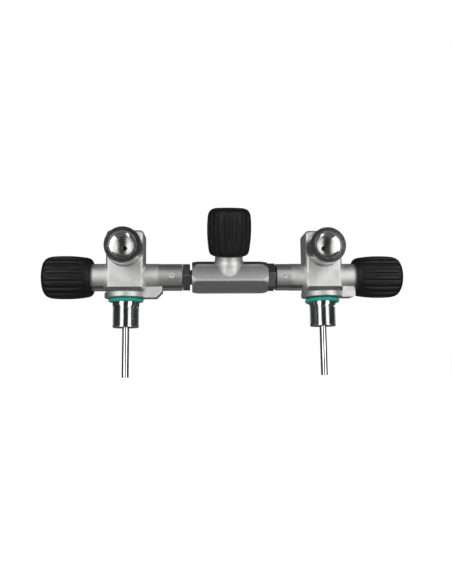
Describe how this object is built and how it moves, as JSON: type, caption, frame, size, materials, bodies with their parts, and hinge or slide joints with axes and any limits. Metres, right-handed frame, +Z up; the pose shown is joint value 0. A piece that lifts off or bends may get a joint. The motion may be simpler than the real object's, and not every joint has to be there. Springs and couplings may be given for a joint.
{
  "type": "scuba isolation manifold",
  "caption": "Twin-cylinder scuba manifold: two cylinder valves with screw outlets joined by a hexagonal bar with a shut-off valve.",
  "frame": {"origin": "on the bar's axis, midway between the two cylinder necks", "axes": "+X along the bar to the right post, +Y away from the regulator outlets, +Z up, away from the cylinders"},
  "size_m": [0.3364, 0.0585, 0.159],
  "materials": {
    "cast_metal": "blasted satin chrome",
    "turned_metal": "satin turned",
    "nut_metal": "dark matt",
    "tube_metal": "polished",
    "brass": "machined",
    "rubber": "matt",
    "green_ring": "matt",
    "pad_plastic": "matt",
    "grip_rubber": "satin",
    "core_plastic": "matt",
    "spring_steel": "plain"
  },
  "bodies": {
    "posts": {"left_valve_body": "cast_metal", "left_bonnet": "brass", "left_bonnet_o_ring": "rubber", "left_thrust_washer": "pad_plastic", "left_neck_o_ring": "green_ring", "left_dip_tube": "tube_metal", "left_lock_screw": "nut_metal", "right_valve_body": "cast_metal", "right_bonnet": "brass", "right_bonnet_o_ring": "rubber", "right_thrust_washer": "pad_plastic", "right_neck_o_ring": "green_ring", "right_dip_tube": "tube_metal", "right_lock_screw": "nut_metal"},
    "left_handwheel": {"left_spindle": "brass", "left_spindle_o_rings": "rubber", "left_knob_grip": "grip_rubber", "left_knob_core": "core_plastic", "left_knob_spring": "spring_steel", "left_knob_nut": "spring_steel"},
    "right_handwheel": {"right_spindle": "brass", "right_spindle_o_rings": "rubber", "right_knob_grip": "grip_rubber", "right_knob_core": "core_plastic", "right_knob_spring": "spring_steel", "right_knob_nut": "spring_steel"},
    "left_seat": {"left_seat_carrier": "brass", "left_seat_pad": "pad_plastic"},
    "right_seat": {"right_seat_carrier": "brass", "right_seat_pad": "pad_plastic"},
    "bar": {"isolator_body": "turned_metal", "isolator_bonnet": "brass", "isolator_bonnet_o_ring": "rubber", "isolator_thrust_washer": "pad_plastic", "left_crossover_tube": "tube_metal", "right_crossover_tube": "tube_metal", "left_tube_o_rings": "rubber", "right_tube_o_rings": "rubber"},
    "isolator_handwheel": {"isolator_spindle": "brass", "isolator_spindle_o_rings": "rubber", "isolator_knob_grip": "grip_rubber", "isolator_knob_core": "core_plastic", "isolator_knob_spring": "spring_steel", "isolator_knob_nut": "spring_steel"},
    "isolator_seat": {"isolator_seat_carrier": "brass", "isolator_seat_pad": "pad_plastic"},
    "left_nut": {"left_lock_nut": "nut_metal"},
    "right_nut": {"right_lock_nut": "nut_metal"}
  },
  "joints": [
    {"name": "left_handwheel_turn", "type": "hinge", "parent": "posts", "child": "left_handwheel", "pos_m": [-0.093, 0, 0], "axis": [-1, 0, 0], "range_deg": [0, 864]},
    {"name": "left_seat_travel", "type": "slide", "parent": "left_handwheel", "child": "left_seat", "axis": [-1, 0, 0], "range_m": [0, 0.0024]},
    {"name": "right_handwheel_turn", "type": "hinge", "parent": "posts", "child": "right_handwheel", "pos_m": [0.093, 0, 0], "axis": [1, 0, 0], "range_deg": [0, 864]},
    {"name": "right_seat_travel", "type": "slide", "parent": "right_handwheel", "child": "right_seat", "axis": [1, 0, 0], "range_m": [0, 0.0024]},
    {"name": "bar_swivel", "type": "hinge", "parent": "posts", "child": "bar", "pos_m": [0, 0, 0], "axis": [1, 0, 0], "range_deg": [-60, 60]},
    {"name": "isolator_handwheel_turn", "type": "hinge", "parent": "bar", "child": "isolator_handwheel", "pos_m": [0.0035, 0, 0], "axis": [0, -0.3256, 0.9455], "range_deg": [0, 864]},
    {"name": "isolator_seat_travel", "type": "slide", "parent": "isolator_handwheel", "child": "isolator_seat", "axis": [0, -0.3256, 0.9455], "range_m": [0, 0.0024]},
    {"name": "left_lock_nut_turn", "type": "hinge", "parent": "bar", "child": "left_nut", "pos_m": [0, 0, 0], "axis": [-1, 0, 0], "range_deg": [-90, 90]},
    {"name": "right_lock_nut_turn", "type": "hinge", "parent": "bar", "child": "right_nut", "pos_m": [0, 0, 0], "axis": [1, 0, 0], "range_deg": [0, 90]}
  ],
  "couplings": [
    {"joint": "left_seat_travel", "follows": "left_handwheel_turn", "m_per_rad": 0.00015915},
    {"joint": "right_seat_travel", "follows": "right_handwheel_turn", "m_per_rad": 0.00015915},
    {"joint": "isolator_seat_travel", "follows": "isolator_handwheel_turn", "m_per_rad": 0.00015915}
  ]
}
